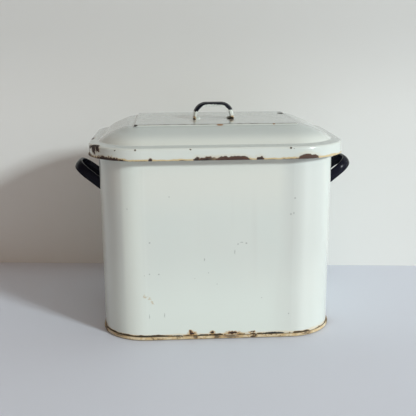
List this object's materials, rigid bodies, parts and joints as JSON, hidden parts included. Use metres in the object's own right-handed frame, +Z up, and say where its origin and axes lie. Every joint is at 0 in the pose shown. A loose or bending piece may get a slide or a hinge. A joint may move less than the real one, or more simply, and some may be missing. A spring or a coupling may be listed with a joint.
{
  "type": "enamel bread bin",
  "caption": "Tall rounded-corner enamelled steel bread bin with fixed loop handles on its sides and a lift-off domed lid with a strap handle.",
  "frame": {"origin": "middle of the foot, on the surface that the bin stands on", "axes": "+Z up, the front faces -Y, the side handles stand out along X"},
  "size_m": [0.4128, 0.2748, 0.3242],
  "materials": {
    "white_enamel": "gloss vitreous enamel, worn",
    "black_enamel": "gloss black vitreous enamel, worn",
    "black_and_white_enamel": "gloss vitreous enamel, black grip over white feet, worn"
  },
  "bodies": {
    "bin": {"body_wall": "white_enamel", "base_pan": "white_enamel", "left_handle": "black_enamel", "right_handle": "black_enamel", "left_handle_rivets": "black_enamel", "right_handle_rivets": "black_enamel"},
    "lid": {"lid_shell": "white_enamel", "lid_handle": "black_and_white_enamel", "lid_handle_rivets": "white_enamel"}
  },
  "joints": [
    {"name": "lid_lift", "type": "slide", "parent": "bin", "child": "lid", "axis": [0, 0, 1], "range_m": [0, 0.08]}
  ]
}
